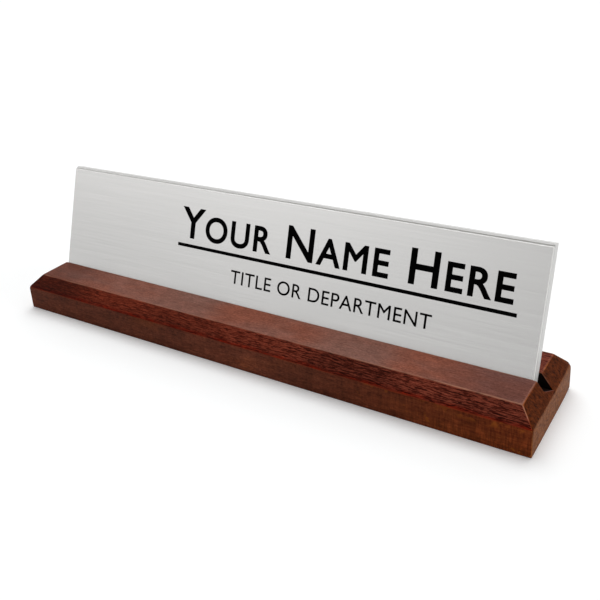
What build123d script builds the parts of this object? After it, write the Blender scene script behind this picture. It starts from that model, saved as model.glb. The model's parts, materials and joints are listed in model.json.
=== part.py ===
"""Desk name plate: a chamfered hardwood base with a tilted slot, and a bonded plate that stands in the slot.

Millimetres. +Z is up, +X runs to the right along the base and the front faces -Y.
The origin is the centre of the base's underside.
"""
import os
from math import cos, radians, sin

from build123d import *

# Base block
base_length = 268.0
base_depth = 51.0
base_height = 18.0
top_chamfer = 6.0
back_corner_radius = 2.5
edge_radius = 0.5

# Slot in the base: how far its front edge lies behind the base's front face; its depth is along the tilt
slot_setback = 22.75
slot_tilt = 19.0
slot_depth = 3.5
slot_clearance = 0.15

# Plate: a printed face sheet bonded to a thicker backing sheet, whose lip stands a little higher
plate_length = 254.0
face_height = 55.0
face_thickness = 0.8
backing_lip = 1.2
backing_thickness = 5.0
sheet_bevel = 0.35

# Adhesive film: it shows above the face sheet's upper edge and stays back from the other three edges
bond_thickness = 0.2
bond_shown = 0.5
bond_inset = 0.5

# Worked out from the sizes above
backing_height = face_height + backing_lip
lip_bevel = backing_lip - bond_shown
plate_thickness = face_thickness + bond_thickness + backing_thickness
slot_width = plate_thickness + 2 * slot_clearance
tilt = radians(slot_tilt)
slot_up = Vector(0, sin(tilt), cos(tilt))
slot_mouth = Vector(0, slot_setback - base_depth / 2, base_height)

# The slot's own frame: x along the base, y from front wall to back wall, z from its floor up along the tilt
slot_frame = Plane(origin=slot_mouth - slot_up * slot_depth, x_dir=(1, 0, 0), z_dir=slot_up)


def sheet(length, thickness, height):
    """An upright sheet, centred along the base, behind and above the origin."""
    return Box(length, thickness, height, align=(Align.CENTER, Align.MIN, Align.MIN))


def in_slot(block, front, bottom):
    """Place a block in the slot's frame by its front face and its lower edge."""
    return slot_frame * Pos(0, front, bottom) * block


def make_base():
    """The wooden block: chamfered on top, back corners rounded, every outer edge eased, then slotted."""
    block = Box(base_length, base_depth, base_height, align=(Align.CENTER, Align.CENTER, Align.MIN))
    block = chamfer(block.faces().sort_by(Axis.Z)[-1].edges(), top_chamfer)
    back_corners = block.edges().filter_by(Axis.Z).group_by(Axis.Y)[-1]
    block = fillet(back_corners, back_corner_radius)
    block = fillet(block.edges(), edge_radius)
    cutter = sheet(base_length + 2 * top_chamfer, slot_width, slot_depth + base_height)
    return block - in_slot(cutter, 0, 0)


def make_plate():
    """The plate's layers from front to back, standing on the slot's floor.

    The plate is bevelled all round front and back, and the backing's lip is bevelled down to the film.
    """
    face_front = slot_clearance
    bond_front = face_front + face_thickness
    backing_front = bond_front + bond_thickness

    face = sheet(plate_length, face_thickness, face_height)
    face = chamfer(face.faces().sort_by(Axis.Y)[0].edges(), sheet_bevel)
    bond = sheet(plate_length - 2 * bond_inset, bond_thickness, face_height + bond_shown - bond_inset)
    backing = sheet(plate_length, backing_thickness, backing_height)
    backing = chamfer(backing.faces().sort_by(Axis.Y)[-1].edges(), sheet_bevel)
    lip_edge = backing.faces().sort_by(Axis.Y)[0].edges().sort_by(Axis.Z)[-1]
    backing = chamfer(lip_edge, lip_bevel)
    return {
        "face_sheet": in_slot(face, face_front, 0),
        "bond_film": in_slot(bond, bond_front, bond_inset),
        "backing_sheet": in_slot(backing, backing_front, 0),
    }


os.makedirs("parts", exist_ok=True)
nodes = {"base": make_base(), **make_plate()}
for name, solid in nodes.items():
    export_step(solid, f"parts/{name}.step")
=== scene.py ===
"""Desk name plate: the worn wooden base, the finishes, the print, the studio and the camera, in metres."""
import json
from math import cos, pi, radians, sin

import bmesh
import bpy
from mathutils import Matrix, Vector, noise


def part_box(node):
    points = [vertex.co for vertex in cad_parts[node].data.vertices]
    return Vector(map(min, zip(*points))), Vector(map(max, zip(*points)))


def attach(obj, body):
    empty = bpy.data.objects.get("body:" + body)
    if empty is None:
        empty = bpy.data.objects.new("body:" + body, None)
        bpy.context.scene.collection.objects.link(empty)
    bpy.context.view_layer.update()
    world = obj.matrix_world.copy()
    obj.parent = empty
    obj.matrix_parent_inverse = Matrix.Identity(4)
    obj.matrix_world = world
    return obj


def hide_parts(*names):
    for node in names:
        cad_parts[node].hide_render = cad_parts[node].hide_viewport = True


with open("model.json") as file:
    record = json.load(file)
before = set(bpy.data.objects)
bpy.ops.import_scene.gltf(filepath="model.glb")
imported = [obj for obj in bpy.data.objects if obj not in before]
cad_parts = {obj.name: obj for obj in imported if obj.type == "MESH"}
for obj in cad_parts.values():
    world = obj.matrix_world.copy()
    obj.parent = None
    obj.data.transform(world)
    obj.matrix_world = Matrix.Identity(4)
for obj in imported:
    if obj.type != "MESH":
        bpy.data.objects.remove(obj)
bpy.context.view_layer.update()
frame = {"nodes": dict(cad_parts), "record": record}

MM = 0.001


def reach(node, direction):
    """A CAD node's furthest place along a direction."""
    return max(vertex.co.dot(direction) for vertex in frame["nodes"][node].data.vertices)


# The plate's own directions: along the base, up its slope, and out of its front face
along = Vector((1, 0, 0))
upslope = Vector(frame["record"]["behaviour"]["joints"][0]["axis"]).normalized()
outwards = along.cross(upslope)

# Base block
base_low, base_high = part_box("base")
half_length = base_high.x
base_front, base_back = base_low.y, base_high.y
base_top = base_high.z
top_chamfer = 6 * MM
shoulder = base_top - top_chamfer

# The slot's walls and floor, taken from the plate that stands in it
slot_clearance = 0.15 * MM
plate_front = reach("face_sheet", outwards)
plate_foot = -reach("face_sheet", -upslope)
front_wall = plate_front + slot_clearance
back_wall = -reach("backing_sheet", -outwards) - slot_clearance
floor_front = outwards * front_wall + upslope * plate_foot
floor_back = outwards * back_wall + upslope * plate_foot

# Edge wear: how far a plain edge is rounded, how unevenly, the lower edges' share, and the rounder corners
edge_ease = 0.55 * MM
ease_waver = 0.4
waver_per_metre = 60
lower_ease_share = 0.5
soft_corner_reach = 9 * MM
soft_corners = (
    (-half_length, base_front, 0.3 * MM),
    (-half_length, base_back, 1.2 * MM),
    (half_length, base_back, 1.2 * MM),
    (half_length, base_front, 0.2 * MM),
)

# Rubbed raw wood with its painted highlight shows further out under the slot's floor than beside its walls
under_floor_share = 0.4

# Base mesh: steps along its end chamfers and its middle, and round its section from the front's lower edge
steps_end = 14
steps_middle = 170
steps_before_slot = (12, 12, 12)
steps_slot = (7, 6, 7)
steps_after_slot = (12, 12, 12, 22)

# Base mesh: the rings that close its ends, how near points are joined, and the sharpest smoothed edge
cap_rings = (0.2 * MM, 0.5 * MM, 1.0 * MM, 1.8 * MM)
merge_distance = 0.001 * MM
smooth_angle = radians(40)

# Print on the face, measured up the slope from the plate's lower edge and along the base from its middle
ink_height = 0.04 * MM
rule_left = -51.6 * MM
rule_right = 117.0 * MM
rule_rise = 26.5 * MM
rule_width = 1.6 * MM
print_middle = (rule_left + rule_right) / 2

# Typeface: a capital's share of the letters' size, and a small capital's share of a capital's height
cap_share = 0.682
small_cap_share = 0.8

# Limits between which a noise pattern fades, slowly to quickly, and a surface comes square to a direction
slow_fade = (0.25, 0.75)
plain_fade = (0.3, 0.7)
quick_fade = (0.35, 0.65)
square_on = (0.8, 0.95)

# Along the base: its left and right, the chamfer's dark patches with their levels, the top's grey patches
# of painted sheen, and a warm patch
left_to_right = (-120 * MM, 120 * MM)
dark_patches = ((-32 * MM, 0.8), (58 * MM, 0.62))
grey_sheen_patches = (-37 * MM, 54 * MM)
warm_patch = 2 * MM

# Across the top: where painted shade darkens it towards its front and lets it pale towards the plate, and
# where its deeper part begins, under the plate
top_painted_shade = (-13 * MM, -3 * MM)
top_deepening = (2 * MM, 4 * MM)

# Wood on the front and back
brown_dark = (0.086, 0.021, 0.0104, 1)
brown_light = (0.134, 0.039, 0.021, 1)
orange_dark = (0.094, 0.016, 0.0036, 1)
orange_light = (0.171, 0.0355, 0.009, 1)
cloud_orange = (0.20, 0.05, 0.012, 1)
fleck_orange = (0.26, 0.066, 0.01, 1)
chip_orange = (0.27, 0.066, 0.01, 1)

# Wood on the long chamfers, from left to right, their pink fibres partly painted glints, with a tint for
# their foot
maroon_left = (0.078, 0.0095, 0.0036, 1)
maroon_right = (0.048, 0.0042, 0.0014, 1)
pink_glint_left = (0.207, 0.034, 0.0152, 1)
pink_glint_right = (0.253, 0.054, 0.0305, 1)
pore_dark = (0.027, 0.0024, 0.0009, 1)
foot_tint = (1.15, 0.37, 0.18, 1)

# Wood on the top, its pale and grey tones partly a painted sheen, with tints for its middle and its two
# ends
rosy_deep = (0.262, 0.086, 0.053, 1)
rosy_pale_and_sheen = (0.248, 0.109, 0.081, 1)
rosy_grey_and_sheen = (0.225, 0.117, 0.092, 1)
rosy_streak = (0.16, 0.045, 0.027, 1)
middle_tint = (1.11, 1.1, 1.1, 1)
left_tint = (0.6, 0.59, 0.61, 1)
right_tint = (0.72, 0.83, 1.0, 1)

# Wood on the end chamfers, the sawn ends with a painted sheen, the rubbed edges with painted highlights,
# and the slot's painted shade
end_brown = (0.066, 0.014, 0.0028, 1)
sawn_brown_and_sheen = (0.152, 0.052, 0.018, 1)
rubbed_highlight_low = (0.33, 0.12, 0.035, 1)
rubbed_shoulder = (0.24, 0.03, 0.01, 1)
rubbed_highlight_top = (0.42, 0.19, 0.12, 1)
slot_shade_dark = (0.004, 0.002, 0.0015, 1)

# The plate's layers and its ink
silver_dark = (0.7, 0.693, 0.682, 1)
silver_light = (0.725, 0.717, 0.706, 1)
cut_grey = (0.56, 0.555, 0.54, 1)
bevel_grey = (0.80, 0.795, 0.775, 1)
film_white_dark = (0.88, 0.87, 0.85, 1)
film_white_light = (0.93, 0.92, 0.90, 1)
film_grey_dark = (0.55, 0.54, 0.52, 1)
film_grey_light = (0.65, 0.64, 0.62, 1)
acrylic_dark = (0.59, 0.585, 0.57, 1)
acrylic_light = (0.65, 0.645, 0.63, 1)
ink_dark = (0.0005, 0.0005, 0.0005, 1)
ink_light = (0.001, 0.001, 0.001, 1)

# Studio: its whites, the world's level as a light, the floor's own glow, and half the floor's side
white = (1, 1, 1, 1)
floor_white = (0.888, 0.896, 0.898, 1)
world_light = 0.32
floor_glow = 0.15
floor_reach = 4

# Camera, fitted to the photograph's 600 x 600 frame
image_side = 600
focal_length_px = 805.25
optical_axis_px = (277.9, 233.0)
camera_azimuth = radians(35.05)
camera_elevation = radians(22.77)
camera_roll = radians(-4.49)
camera_distance = 352.6 * MM
camera_aim = Vector((12.2, 0, 58.1)) * MM
nearest_seen = 10 * MM
sensor_width_mm = 36

# A mix node's sockets where it mixes colours
mix_factor = 0
mix_first = 6
mix_second = 7
mix_result = 2


class Graph:
    """A node tree, with short calls for the nodes that the finishes share."""

    def __init__(self, tree):
        self.tree = tree

    def plug(self, socket, value):
        """Link a socket to another node's output, or set its value."""
        if isinstance(value, bpy.types.NodeSocket):
            self.tree.links.new(value, socket)
        else:
            socket.default_value = value

    def add(self, kind, inputs=None, **settings):
        """A new node with its settings and its inputs, which are named or numbered."""
        node = self.tree.nodes.new(kind)
        for name, value in settings.items():
            setattr(node, name, value)
        for key, value in (inputs or {}).items():
            self.plug(node.inputs[key], value)
        return node

    def math(self, operation, first, second=0.0):
        """The result of an operation on one or two numbers."""
        return self.add("ShaderNodeMath", {0: first, 1: second}, operation=operation).outputs[0]

    def product(self, first, *others):
        """Numbers multiplied together."""
        for other in others:
            first = self.math("MULTIPLY", first, other)
        return first

    def remap(self, value, low, high, to_low=0.0, to_high=1.0):
        """Ease a value from one range to another, held at both ends."""
        limits = {"Value": value, "From Min": low, "From Max": high, "To Min": to_low, "To Max": to_high}
        return self.add("ShaderNodeMapRange", limits, interpolation_type="SMOOTHSTEP").outputs[0]

    def level(self, share, at_zero, at_one):
        """Ease from one number to another as a share goes from zero to one."""
        return self.remap(share, 0, 1, at_zero, at_one)

    def parts(self, vector):
        """A vector's x, y and z."""
        return self.add("ShaderNodeSeparateXYZ", {0: vector}).outputs

    def blend(self, factor, first, second, kind="MIX"):
        """Two colours mixed by a factor."""
        inputs = {mix_factor: factor, mix_first: first, mix_second: second}
        return self.add("ShaderNodeMix", inputs, data_type="RGBA", blend_type=kind).outputs[mix_result]

    def shaded(self, tone, level):
        """A colour made darker or lighter by a level around one, or tinted by a colour."""
        return self.blend(1.0, tone, level, "MULTIPLY")

    def varied(self, tone, value, limits, levels):
        """A colour made darker or lighter, from one level to the other as a value passes its limits."""
        return self.shaded(tone, self.remap(value, *limits, *levels))

    def shown(self):
        """One for rays from the camera, a reflection or a clear piece, zero for those that carry light."""
        path = self.add("ShaderNodeLightPath").outputs
        seen = self.math("MAXIMUM", path["Is Camera Ray"], path["Is Glossy Ray"])
        return self.math("MAXIMUM", seen, path["Is Transmission Ray"])


class Finish(Graph):
    """A procedural material on the object's own coordinates."""

    def __init__(self, name):
        self.material = bpy.data.materials.new(name)
        self.material.use_nodes = True
        super().__init__(self.material.node_tree)
        self.shader = self.tree.nodes["Principled BSDF"]
        self.place = self.add("ShaderNodeTexCoord").outputs["Object"]

    def set(self, **sockets):
        """Fill the shader's sockets, named with underscores for spaces."""
        for name, value in sockets.items():
            self.plug(self.shader.inputs[name.replace("_", " ")], value)

    def facing(self):
        """The direction in which the surface looks."""
        return self.add("ShaderNodeNewGeometry").outputs["Normal"]

    def scaled(self, per_metre):
        """The object's coordinates, counted in features per metre along each axis."""
        node = self.add("ShaderNodeVectorMath", {0: self.place, 1: per_metre}, operation="MULTIPLY")
        return node.outputs[0]

    def noise(self, per_metre, detail=2.0, roughness=0.5, distortion=0.0):
        """A noise pattern around one half, with its features per metre along each axis."""
        inputs = {"Vector": self.scaled(per_metre), "Scale": 1.0, "Detail": detail}
        inputs.update({"Roughness": roughness, "Distortion": distortion})
        return self.add("ShaderNodeTexNoise", inputs).outputs["Fac"]

    def dot(self, vector, direction):
        """How far a vector goes along a direction."""
        inputs = {0: vector, 1: direction}
        return self.add("ShaderNodeVectorMath", inputs, operation="DOT_PRODUCT").outputs["Value"]

    def stored(self, name):
        """A number that the mesh keeps at each point."""
        return self.add("ShaderNodeAttribute", attribute_name=name).outputs["Fac"]

    def bump(self, height, depth, strength):
        """Relief from a height pattern."""
        inputs = {"Height": height, "Distance": depth, "Strength": strength}
        self.set(Normal=self.add("ShaderNodeBump", inputs).outputs[0])


class Wood(Finish):
    """Stained hardwood: a point's place on the base, the way it faces, and the patterns its tones share."""

    def __init__(self):
        super().__init__("stained_hardwood")
        place = self.parts(self.place)
        self.x = place["X"]
        self.y = place["Y"]
        self.height = place["Z"]

        # Shares that reach one at the right, at the far right, near both ends and at the far left
        off_middle = self.math("ABSOLUTE", self.x)
        self.rightwards = self.remap(self.x, *left_to_right)
        self.far_right = self.remap(self.x, 20 * MM, 130 * MM)
        self.near_end = self.remap(off_middle, half_length - 52 * MM, half_length - 12 * MM)
        self.far_left = self.remap(self.x, 14 * MM - half_length, 65 * MM - half_length, 1, 0)

        # How far a surface looks to an end and to the front or back, and shares for the top and chamfers
        facing = self.parts(self.facing())
        self.endways = self.math("ABSOLUTE", facing["X"])
        self.frontways = self.math("ABSOLUTE", facing["Y"])
        self.upwards = self.remap(facing["Z"], 0.85, 0.97)
        self.sloping = self.remap(self.product(self.frontways, facing["Z"]), 0.3, 0.45)

        # Grain that runs along the base, and spots of several sizes
        self.streaks = self.noise((70, 1000, 1000), detail=5, roughness=0.75, distortion=0.6)
        self.lines = self.noise((260, 2000, 2000), detail=1)
        self.fibres = self.noise((200, 2400, 2400), detail=3, roughness=0.7)
        self.mottle = self.noise((900, 1500, 1500), detail=4, roughness=0.75)
        self.specks = self.noise((700, 900, 700), detail=3, roughness=0.75)
        self.blotches = self.noise((150, 220, 220), detail=4, roughness=0.6)
        self.clouds = self.noise((28, 70, 70), detail=4)

    def patch(self, middle, inner, outer):
        """One around a place along the base, fading to zero."""
        away = self.math("ABSOLUTE", self.math("SUBTRACT", self.x, middle))
        return self.remap(away, inner, outer, 1, 0)


def side_tone(wood):
    """Front and back: brown, more orange to the far right, with upright sanding marks and pale flecks."""
    streaky = wood.remap(wood.streaks, *plain_fade)
    brown = wood.blend(streaky, brown_dark, brown_light)
    orange = wood.blend(streaky, orange_dark, orange_light)
    tone = wood.blend(wood.far_right, brown, orange)
    tone = wood.blend(wood.remap(wood.clouds, 0.5, 0.75, 0, 0.35), tone, cloud_orange)

    sanding = wood.noise((520, 520, 60), detail=4, roughness=0.7, distortion=0.4)
    tone = wood.varied(tone, sanding, plain_fade, (wood.level(wood.rightwards, 0.98, 0.85), 1.12))
    strokes = wood.noise((1500, 1500, 220), detail=2)
    tone = wood.blend(wood.far_right, tone, wood.varied(tone, strokes, quick_fade, (0.76, 1.2)))
    tone = wood.varied(tone, wood.lines, (0.45, 0.62), (1.08, wood.level(wood.far_right, 0.8, 0.98)))
    tone = wood.shaded(tone, wood.level(wood.patch(warm_patch, 5 * MM, 45 * MM), 1, 1.3))
    # Painted light: lighter towards the bottom, where shade falls, and a little darker towards the shoulder
    tone = wood.varied(tone, wood.height, (0, shoulder), (1.1, 0.95))
    tone = wood.varied(tone, wood.mottle, slow_fade, (wood.level(wood.far_right, 0.6, 0.8), 1.35))
    tone = wood.varied(tone, wood.blotches, plain_fade, (0.85, 1.15))

    flecks = wood.remap(wood.noise((260, 260, 420), detail=2), 0.66, 0.74)
    tone = wood.blend(wood.product(flecks, wood.far_right), tone, fleck_orange)
    chips = wood.remap(wood.noise((230, 230, 300), detail=3), 0.5, 0.62)
    under_shoulder = wood.remap(wood.height, shoulder - 4 * MM, shoulder - 1 * MM)
    return wood.blend(wood.product(chips, under_shoulder, wood.far_right, wood.near_end), tone, chip_orange)


def chamfer_tone(wood):
    """Long chamfers: maroon with pink fibres, partly painted glints, and dark pores, most open to the
    right, with a redder foot.
    """
    maroon = wood.blend(wood.rightwards, maroon_left, maroon_right)
    pink = wood.blend(wood.rightwards, pink_glint_left, pink_glint_right)
    # Painted glints: the pink fibres stand partly for light glinting off the open grain
    tone = wood.blend(wood.remap(wood.fibres, 0.38, 0.60), maroon, pink)
    pores = wood.product(wood.remap(wood.lines, 0.56, 0.63), wood.level(wood.rightwards, 0.45, 0.9))
    tone = wood.blend(pores, tone, pore_dark)
    tone = wood.varied(tone, wood.streaks, plain_fade, (0.8, 1.2))
    tone = wood.varied(tone, wood.mottle, slow_fade, (0.62, 1.4))
    tone = wood.varied(tone, wood.height, (shoulder, shoulder + 4 * MM), (0.8, 1))

    low_down = wood.remap(wood.height, shoulder + 0.3 * MM, shoulder + 1.6 * MM, 1, 0)
    broken = wood.remap(wood.noise((110, 400, 400), detail=3), 0.4, 0.6, 0.35, 1)
    tone = wood.blend(wood.product(low_down, broken), tone, wood.shaded(tone, foot_tint))

    end_level = wood.product(wood.level(wood.far_left, 1, 0.5), wood.level(wood.near_end, 1, 0.85))
    tone = wood.shaded(tone, end_level)
    for middle, level in dark_patches:
        tone = wood.shaded(tone, wood.level(wood.patch(middle, 5 * MM, 33 * MM), 1, level))
    return tone


def top_tone(wood, deeper):
    """Top: soft rosy and greyish clouds in front of the plate, partly a painted sheen, painted shade
    darkening it towards its front, and a deeper tone behind it.
    """
    # Painted sheen, partly: the top's pale and greyish tones stand for its stain and for the sheen of its
    # finish
    tone = wood.blend(wood.remap(wood.clouds, *quick_fade), rosy_deep, rosy_pale_and_sheen)
    for middle in grey_sheen_patches:
        tone = wood.blend(wood.level(wood.patch(middle, 4 * MM, 30 * MM), 0, 0.7), tone, rosy_grey_and_sheen)
    tone = wood.blend(wood.remap(wood.streaks, *quick_fade, 0.3, 0), tone, rosy_streak)
    tone = wood.varied(tone, wood.mottle, slow_fade, (0.7, 1.3))
    tone = wood.varied(tone, wood.fibres, slow_fade, (0.75, 1.25))
    tone = wood.varied(tone, wood.blotches, plain_fade, (0.86, 1.1))
    end_tint = wood.blend(wood.rightwards, left_tint, right_tint)
    tone = wood.shaded(tone, wood.blend(wood.near_end, middle_tint, end_tint))
    # Painted shade: darker towards the front edge, a little lighter near the plate
    tone = wood.varied(tone, wood.y, top_painted_shade, (0.9, 1.03))
    return wood.blend(wood.remap(wood.y, *top_deepening), tone, deeper)


def with_ends(wood, tone):
    """A tone with the base's ends added: browner chamfers and paler sawn faces, their paleness partly a
    painted sheen, both speckled.
    """
    brown = wood.varied(end_brown, wood.specks, slow_fade, (0.2, 1.8))
    # Painted sheen, partly: the sawn faces' pale tone also stands for their sheen
    sawn = wood.varied(sawn_brown_and_sheen, wood.specks, slow_fade, (0.35, 1.65))
    sawn = wood.varied(sawn, wood.mottle, slow_fade, (0.6, 1.4))
    tone = wood.blend(wood.remap(wood.endways, 0.45, 0.65), tone, brown)
    return wood.blend(wood.remap(wood.endways, 0.82, 0.95), tone, sawn)


def rubbed_highlight_tone(wood):
    """Edges rubbed thin, painted with highlights too: rosy along the top, red along the shoulder and orange
    below it.
    """
    tone = wood.blend(wood.remap(wood.height, shoulder - 2 * MM, shoulder), rubbed_highlight_low, rubbed_shoulder)
    return wood.blend(wood.remap(wood.height, shoulder + 1 * MM, base_top - 2 * MM), tone, rubbed_highlight_top)


def edge_wear_and_highlight(wood):
    """How far an edge is rubbed and painted with a highlight: in broken stretches, most to the far right,
    and least across the ends.
    """
    cornering = wood.remap(wood.product(wood.endways, wood.frontways), 0.05, 0.2)
    crossing = wood.product(wood.remap(wood.endways, 0.15, 0.35), wood.math("SUBTRACT", 1.0, cornering))
    least_worn = wood.remap(wood.height, shoulder + 1 * MM, shoulder + 3 * MM, 0.15, 1)
    return wood.product(
        wood.remap(wood.stored("edge_gap"), 0.05 * MM, 0.4 * MM, 1, 0),
        wood.remap(wood.noise((120, 300, 300), detail=4), 0.35, 0.6, 0.3, 1),
        wood.remap(wood.noise((40, 40, 40), detail=2), 0.42, 0.58, least_worn, 1),
        wood.level(wood.far_right, 0.35, 0.9),
        wood.level(crossing, 1, 0.3),
        wood.math("MAXIMUM", wood.remap(wood.height, 1 * MM, 4 * MM), cornering),
    )


def wood_finish():
    """Red-brown stained wood: a top made paler partly by a painted sheen, deep red open-grained chamfers
    with painted glints, brown sides with painted light low down, worn edges with painted highlights, and
    painted shade in the slot.
    """
    wood = Wood()
    chamfer = chamfer_tone(wood)
    tone = wood.blend(wood.sloping, side_tone(wood), chamfer)
    tone = wood.blend(wood.upwards, tone, top_tone(wood, chamfer))
    tone = with_ends(wood, tone)
    # Painted highlights: the rubbed tones stand for worn wood and for light caught along the edges
    tone = wood.blend(edge_wear_and_highlight(wood), tone, rubbed_highlight_tone(wood))
    # Painted shade: the slot's inside darkens with depth
    tone = wood.blend(wood.remap(wood.stored("slot_depth"), 0.1 * MM, 0.6 * MM), tone, slot_shade_dark)
    wood.set(Base_Color=tone, Specular_IOR_Level=0.03)
    wood.set(Roughness=wood.remap(wood.streaks, *plain_fade, 0.45, 0.6))
    relief = wood.math("SUBTRACT", wood.product(wood.mottle, 0.4), wood.product(wood.lines, wood.sloping))
    wood.bump(relief, depth=0.08 * MM, strength=0.6)
    return wood.material


def brushed_finish():
    """Silver sheet brushed lengthways, with duller cut edges."""
    silver = Finish("brushed_silver")
    lines = silver.noise((25, 6000, 6000), detail=2, roughness=0.6)
    streaks = silver.noise((12, 1200, 1200), detail=2)
    bands = silver.noise((9, 40, 40), detail=2)
    tone = silver.blend(silver.remap(lines, *plain_fade), silver_dark, silver_light)
    tone = silver.varied(tone, streaks, plain_fade, (0.987, 1.013))
    tone = silver.varied(tone, bands, plain_fade, (1, 0.98))
    frontal = silver.dot(silver.facing(), outwards)
    face = silver.remap(frontal, *square_on)
    cut_edge = silver.blend(silver.remap(frontal, 0.3, 0.6), cut_grey, bevel_grey)
    silver.set(Base_Color=silver.blend(face, cut_edge, tone), Metallic=face)
    silver.set(Roughness=silver.remap(lines, *plain_fade, 0.18, 0.24))
    silver.bump(lines, depth=0.003 * MM, strength=0.2)
    return silver.material


def adhesive_finish():
    """White double-sided film, faintly mottled, greyer towards the right."""
    film = Finish("adhesive_film")
    mottle = film.noise((900, 900, 900), detail=2)
    rightwards = film.remap(film.parts(film.place)["X"], *left_to_right)
    pale = film.blend(mottle, film_white_dark, film_white_light)
    grey = film.blend(mottle, film_grey_dark, film_grey_light)
    film.set(Base_Color=film.blend(rightwards, pale, grey), Roughness=0.6)
    return film.material


def acrylic_finish():
    """Pale milky acrylic, glossy on its faces, satin on its cut edges, and darkened at its two ends by
    painted shade.
    """
    sheet = Finish("pale_acrylic")
    haze = sheet.noise((60, 60, 60), detail=2)
    facing = sheet.facing()
    face = sheet.remap(sheet.math("ABSOLUTE", sheet.dot(facing, outwards)), *square_on)
    shaded_end = sheet.remap(sheet.math("ABSOLUTE", sheet.parts(facing)["X"]), *square_on)
    tone = sheet.blend(haze, acrylic_dark, acrylic_light)
    # Painted shade: the two end edges are darkened
    sheet.set(Base_Color=sheet.shaded(tone, sheet.level(shaded_end, 1, 0.87)))
    sheet.set(Roughness=sheet.level(face, 0.45, 0.15), IOR=1.49)
    return sheet.material


def ink_finish():
    """Black ink with a slightly uneven satin."""
    ink = Finish("black_ink")
    speckle = ink.noise((2500, 2500, 2500), detail=2)
    ink.set(Base_Color=ink.blend(speckle, ink_dark, ink_light))
    ink.set(Roughness=ink.remap(speckle, *plain_fade, 0.5, 0.65), Specular_IOR_Level=0.01)
    return ink.material


def floor_finish():
    """White paper that glows a little where it is seen, and not as a light."""
    paper = Finish("white_floor")
    paper.set(Base_Color=floor_white, Roughness=0.9, Specular_IOR_Level=0.0)
    paper.set(Emission_Color=white, Emission_Strength=paper.product(paper.shown(), floor_glow))
    return paper.material


def dress(node, material):
    """Give a CAD node's object its finish."""
    slots = frame["nodes"][node].data.materials
    slots.clear()
    slots.append(material)


def as_mesh(name, shape):
    """A bmesh, which is used up, as a mesh."""
    mesh = bpy.data.meshes.new(name)
    shape.to_mesh(mesh)
    shape.free()
    return mesh


def add_piece(name, mesh, material):
    """A mesh as a new object with one material."""
    mesh.materials.append(material)
    piece = bpy.data.objects.new(name, mesh)
    bpy.context.scene.collection.objects.link(piece)
    return piece


def spread(count):
    """Fractions from 0 to 1, closer together near both ends."""
    return [(1 - cos(pi * i / count)) / 2 for i in range(count + 1)]


def on_wall(wall, height):
    """The point of a slot wall at a height."""
    return outwards * wall + upslope * ((height - outwards.z * wall) / upslope.z)


def slot_section(height):
    """The slot's four corners where the base's top is cut at a height, from front mouth to back mouth."""
    floor_height = min(max(height, floor_back.z), floor_front.z)
    floor_share = (floor_front.z - floor_height) / (floor_front.z - floor_back.z)
    floor_start = floor_front.lerp(floor_back, floor_share)
    front_mouth = on_wall(front_wall, height) if height > floor_front.z else floor_start
    back_mouth = on_wall(back_wall, height) if height > floor_back.z else floor_back
    corners = (front_mouth, floor_start, floor_back, back_mouth)
    return [Vector((0, point.y, min(point.z, height))) for point in corners]


def section(height):
    """Corners of the base's section where its top is cut at a height, round from the front's lower edge."""
    cut = height - shoulder
    front = [(0, base_front, 0), (0, base_front, shoulder), (0, base_front + cut, height)]
    back = [(0, base_back - cut, height), (0, base_back, shoulder), (0, base_back, 0)]
    return [Vector(point) for point in front] + slot_section(height) + [Vector(point) for point in back]


def stations():
    """Places along the base, with the height that its top is cut to there."""
    cuts = [top_chamfer * share for share in spread(steps_end)]
    ends = [(half_length - cut, shoulder + cut) for cut in cuts]
    middle = [(-half_length + top_chamfer) * (1 - 2 * share) for share in spread(steps_middle)[1:-1]]
    left = [(-x, height) for x, height in ends]
    return left + [(x, base_top) for x in middle] + ends[::-1]


def block_planes():
    """The block's flat faces, each as its outward direction and its distance from the origin."""
    diagonal = Vector((1, 1)).normalized().x
    planes = [(Vector((0, 0, 1)), base_top), (Vector((0, 0, -1)), 0)]
    for sign in (-1, 1):
        planes.append((Vector((sign, 0, 0)), half_length))
        planes.append((Vector((0, sign, 0)), base_back))
        planes.append((Vector((sign, 0, 1)) * diagonal, (half_length + shoulder) * diagonal))
        planes.append((Vector((0, sign, 1)) * diagonal, (base_back + shoulder) * diagonal))
    return planes


def ease_at(place):
    """How widely an edge is rounded near a place."""
    ease = edge_ease * (1 + ease_waver * noise.noise(place * waver_per_metre))
    ease *= lower_ease_share + (1 - lower_ease_share) * min(1, place.z / shoulder)
    for x, y, extra in soft_corners:
        away = (Vector((x, y)) - place.xy).length
        ease += extra * max(0, 1 - away / soft_corner_reach)
    return ease


def eased(place, planes):
    """A point of the sharp block moved onto the block with rounded edges."""
    width = ease_at(place)
    gaps = [(distance - direction.dot(place), direction) for direction, distance in planes]
    gaps.sort(key=lambda gap: gap[0])
    depth, normal = gaps[0]

    # A smooth least depth below the nearest four faces, because no more than four meet at a corner
    for gap, direction in gaps[1:4]:
        share = max(0, 1 - abs(gap - depth) / width)
        depth = min(gap, depth) - share * share * width / 4
        normal = normal.lerp(direction, share / 2)
    return place + normal * (depth / normal.length_squared)


def edge_gap(place, planes):
    """Distance from a point of the block to its nearest edge, the slot's mouth included."""
    gaps = sorted(distance - direction.dot(place) for direction, distance in planes)
    beside = max(0, place.dot(outwards) - front_wall, back_wall - place.dot(outwards))
    below = max(0, plate_foot - place.dot(upslope)) * under_floor_share
    return min(gaps[1], Vector((beside, below)).length)


def bridge(shape, near, far):
    """Faces between two closed loops of as many points."""
    for i in range(len(near)):
        shape.faces.new((near[i - 1], near[i], far[i], far[i - 1]))


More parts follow.
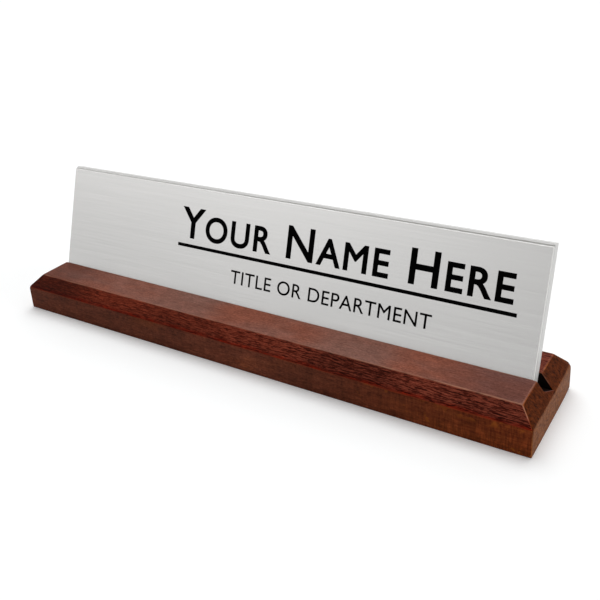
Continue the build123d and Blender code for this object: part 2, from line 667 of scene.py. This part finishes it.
def close_end(shape, outline):
    """Close an end of the block with rings that follow its outline inwards."""
    loop = outline
    for inset in cap_rings:
        ring = []
        for vert in outline:
            y = min(max(vert.co.y, base_front + inset), base_back - inset)
            z = min(max(vert.co.z, inset), shoulder - inset)
            ring.append(shape.verts.new((vert.co.x, y, z)))
        bridge(shape, loop, ring)
        loop = ring
    shape.faces.new(loop)


def section_loop(shape, x, height, depth_layer):
    """A loop of points round the base's section at a station, where the slot's points keep their depth."""
    corners = section(height)
    steps = steps_before_slot + steps_slot + steps_after_slot
    loop = []
    for start, end, count in zip(corners, corners[1:] + corners[:1], steps):
        for share in spread(count)[:-1]:
            loop.append(shape.verts.new(start.lerp(end, share) + along * x))
    slot_start = sum(steps_before_slot)
    slot_end = slot_start + sum(steps_slot)
    for vert in loop[slot_start:slot_end]:
        vert[depth_layer] = height - vert.co.z
    return loop


def make_base(material):
    """The base: the CAD block with its edges worn unevenly, every point keeping its distance to an edge."""
    shape = bmesh.new()
    gap_layer = shape.verts.layers.float.new("edge_gap")
    depth_layer = shape.verts.layers.float.new("slot_depth")
    loops = [section_loop(shape, x, height, depth_layer) for x, height in stations()]
    for near, far in zip(loops, loops[1:]):
        bridge(shape, near, far)
    close_end(shape, loops[0])
    close_end(shape, loops[-1])
    bmesh.ops.remove_doubles(shape, verts=shape.verts, dist=merge_distance)
    bmesh.ops.recalc_face_normals(shape, faces=shape.faces)
    planes = block_planes()
    for vert in shape.verts:
        vert[gap_layer] = edge_gap(vert.co, planes)
        if vert[depth_layer] == 0:
            vert.co = eased(vert.co, planes)
    for face in shape.faces:
        face.smooth = True
    mesh = as_mesh("worn_base", shape)
    mesh.set_sharp_from_angle(angle=smooth_angle)
    base = add_piece("worn_base", mesh, material)
    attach(base, "base")
    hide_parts("base")


def face_point(across, rise):
    """A point on the plate's front face, from the middle of its lower edge."""
    return along * across + upslope * (plate_foot + rise) + outwards * plate_front


def make_rule(material):
    """The printed line, a strip of ink standing a little proud of the face."""
    shape = bmesh.new()
    low, high = rule_rise - rule_width / 2, rule_rise + rule_width / 2
    corners = ((rule_left, low), (rule_right, low), (rule_right, high), (rule_left, high))
    back = [shape.verts.new(face_point(x, rise)) for x, rise in corners]
    front = [shape.verts.new(vert.co + outwards * ink_height) for vert in back]
    bridge(shape, back, front)
    shape.faces.new(front)
    shape.faces.new(back[::-1])
    rule = add_piece("printed_rule", as_mesh("printed_rule", shape), material)
    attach(rule, "plate")


def make_words(name, words, material, rise, cap_height, spacing, weight):
    """A line of generic placeholder lettering in ink, in small capitals, centred on the rule."""
    text = bpy.data.curves.new(name, "FONT")
    text.body = words
    for letter in text.body_format:
        letter.use_small_caps = True
    text.small_caps_scale = small_cap_share
    text.size = cap_height / cap_share
    text.space_character = spacing
    text.bevel_depth = weight
    text.bevel_resolution = 0
    text.align_x = "CENTER"
    draft = bpy.data.objects.new(name, text)
    mesh = bpy.data.meshes.new_from_object(draft)
    bpy.data.objects.remove(draft)
    mesh.transform(Matrix.Diagonal((1, 1, ink_height / (2 * weight), 1)))
    mesh.transform(Matrix((along, upslope, outwards)).transposed().to_4x4())
    mesh.transform(Matrix.Translation(face_point(print_middle, rise) + outwards * ink_height / 2))
    line = add_piece(name, mesh, material)
    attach(line, "plate")


def make_floor(material):
    """A plain white floor that keeps the shadow."""
    shape = bmesh.new()
    bmesh.ops.create_grid(shape, x_segments=4, y_segments=4, size=floor_reach)
    add_piece("floor", as_mesh("floor", shape), material)


def make_world():
    """White surroundings, dimmer as a light than as a background."""
    world = bpy.data.worlds.new("studio")
    world.use_nodes = True
    studio = Graph(world.node_tree)
    path = studio.add("ShaderNodeLightPath").outputs
    towards = studio.parts(studio.add("ShaderNodeTexCoord").outputs["Generated"])

    # In reflections they brighten with height, most of all to the left, and dim again overhead
    low_level = studio.remap(towards["X"], -0.52, -0.25, 0.24, 0.42)
    high_level = studio.remap(towards["X"], -0.58, -0.1, 1.48, 0.78)
    rising = studio.remap(towards["Z"], -0.28, 0.54, low_level, high_level)
    overhead = studio.remap(towards["Z"], 0.6, 0.95, 1.0, 0.35)
    mirrored = studio.math("SUBTRACT", studio.product(rising, overhead), world_light)

    seen = studio.math("MAXIMUM", path["Is Camera Ray"], path["Is Transmission Ray"])
    level = studio.math("ADD", world_light, studio.product(seen, 1 - world_light))
    level = studio.math("ADD", level, studio.product(path["Is Glossy Ray"], mirrored))
    sky = world.node_tree.nodes["Background"]
    studio.plug(sky.inputs["Color"], white)
    studio.plug(sky.inputs["Strength"], level)
    bpy.context.scene.world = world


def make_sun(name, azimuth, elevation, strength, width):
    """A soft distant lamp: its side, from the back towards the right, its height and width in degrees."""
    light = bpy.data.lights.new(name, "SUN")
    light.energy = strength
    light.angle = radians(width)
    lamp = bpy.data.objects.new(name, light)
    level = Vector((sin(radians(azimuth)), cos(radians(azimuth)), 0))
    towards = level * cos(radians(elevation)) + Vector((0, 0, sin(radians(elevation))))
    lamp.rotation_euler = towards.to_track_quat("Z", "Y").to_euler()
    bpy.context.scene.collection.objects.link(lamp)
    return lamp


def make_camera():
    """The camera at the photograph's viewpoint."""
    level = Vector((cos(camera_azimuth), sin(camera_azimuth), 0))
    forward = Vector((-sin(camera_azimuth), cos(camera_azimuth), 0))
    back = Vector((0, 0, sin(camera_elevation))) - forward * cos(camera_elevation)
    upright = back.cross(level)
    right = level * cos(camera_roll) + upright * sin(camera_roll)
    up = upright * cos(camera_roll) - level * sin(camera_roll)
    lens = bpy.data.cameras.new("camera")
    lens.sensor_width = sensor_width_mm
    lens.lens = focal_length_px / image_side * sensor_width_mm
    lens.shift_x = (image_side / 2 - optical_axis_px[0]) / image_side
    lens.shift_y = (optical_axis_px[1] - image_side / 2) / image_side
    lens.clip_start = nearest_seen
    camera = bpy.data.objects.new("camera", lens)
    turn = Matrix((right, up, back)).transposed().to_4x4()
    camera.matrix_world = Matrix.Translation(camera_aim + back * camera_distance) @ turn
    bpy.context.scene.collection.objects.link(camera)
    bpy.context.scene.camera = camera


make_base(wood_finish())
dress("face_sheet", brushed_finish())
dress("bond_film", adhesive_finish())
dress("backing_sheet", acrylic_finish())

ink = ink_finish()
make_rule(ink)
make_words(
    "placeholder_name", "Your Name Here", ink,
    rise=30.6 * MM, cap_height=14.4 * MM, spacing=1.09, weight=0.35 * MM,
)
make_words(
    "placeholder_title", "TITLE OR DEPARTMENT", ink,
    rise=13.2 * MM, cap_height=6.2 * MM, spacing=1.05, weight=0.05 * MM,
)

make_floor(floor_finish())
make_world()
make_sun("overhead", azimuth=-26, elevation=65, strength=2.18, width=60)
right_fill = make_sun("right_fill", azimuth=80, elevation=8, strength=1.42, width=24)
right_fill.visible_glossy = False
make_camera()
bpy.context.scene.view_settings.view_transform = "Standard"
